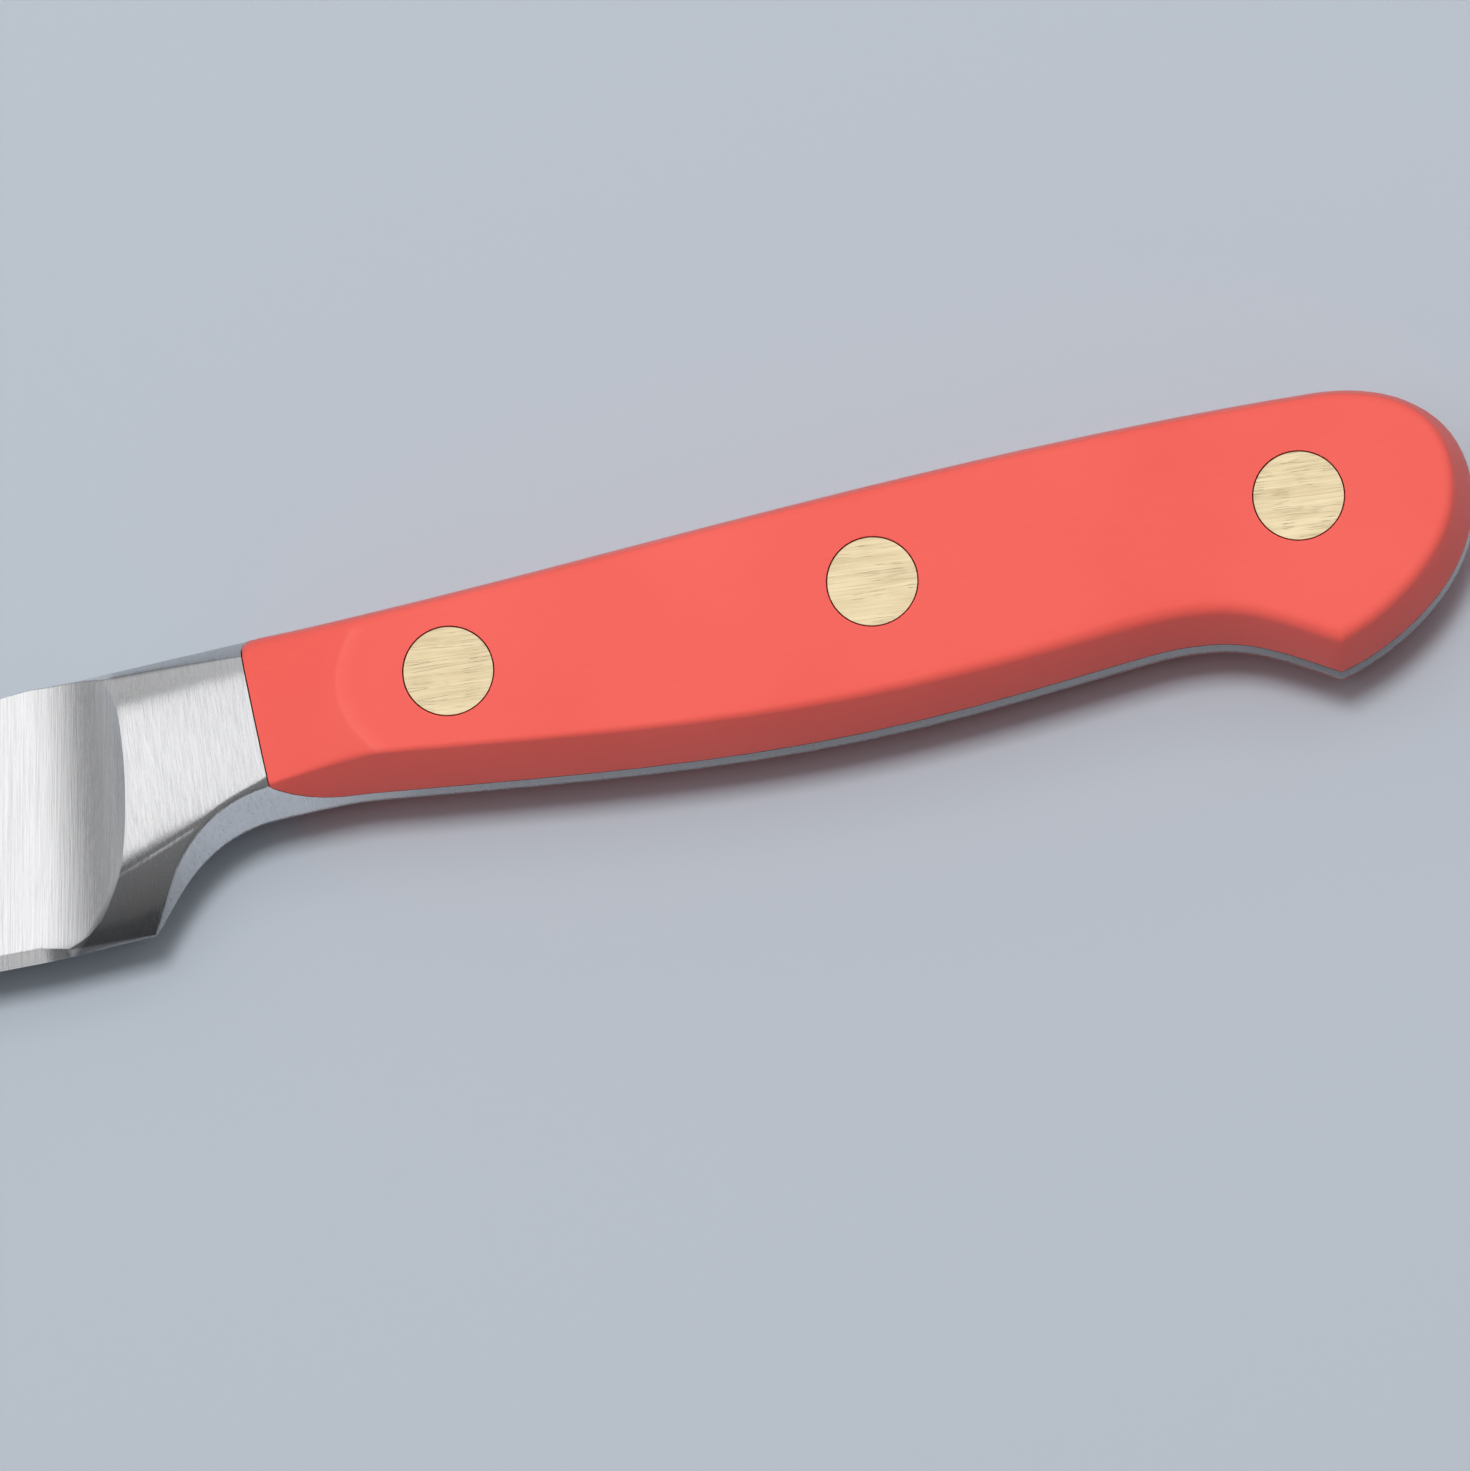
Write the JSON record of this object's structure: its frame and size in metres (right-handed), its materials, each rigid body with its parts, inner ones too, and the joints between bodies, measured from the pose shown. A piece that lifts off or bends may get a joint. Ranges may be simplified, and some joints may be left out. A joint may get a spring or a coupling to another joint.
{
  "type": "steak knife",
  "caption": "Forged steak knife with a stepped bolster, full tang, faceted coral-red handle scales and flush brass rivets.",
  "frame": {"origin": "centre of the bounding box's bottom face, in the plane that the far scale lies on", "axes": "+X from the blade's tip to the butt, +Y from the cutting edge to the back, +Z from the far scale up to the near scale"},
  "size_m": [0.226, 0.0228, 0.014],
  "materials": {
    "steel": "brushed across the knife",
    "scales": "satin coral red",
    "rivets": "ground flush, fine scratches along the knife"
  },
  "bodies": {
    "root": {"forged_blade": "steel", "near_scale": "scales", "far_scale": "scales", "front_rivet_post": "rivets", "front_rivet_sleeve": "rivets", "middle_rivet_post": "rivets", "middle_rivet_sleeve": "rivets", "rear_rivet_post": "rivets", "rear_rivet_sleeve": "rivets"}
  },
  "joints": []
}
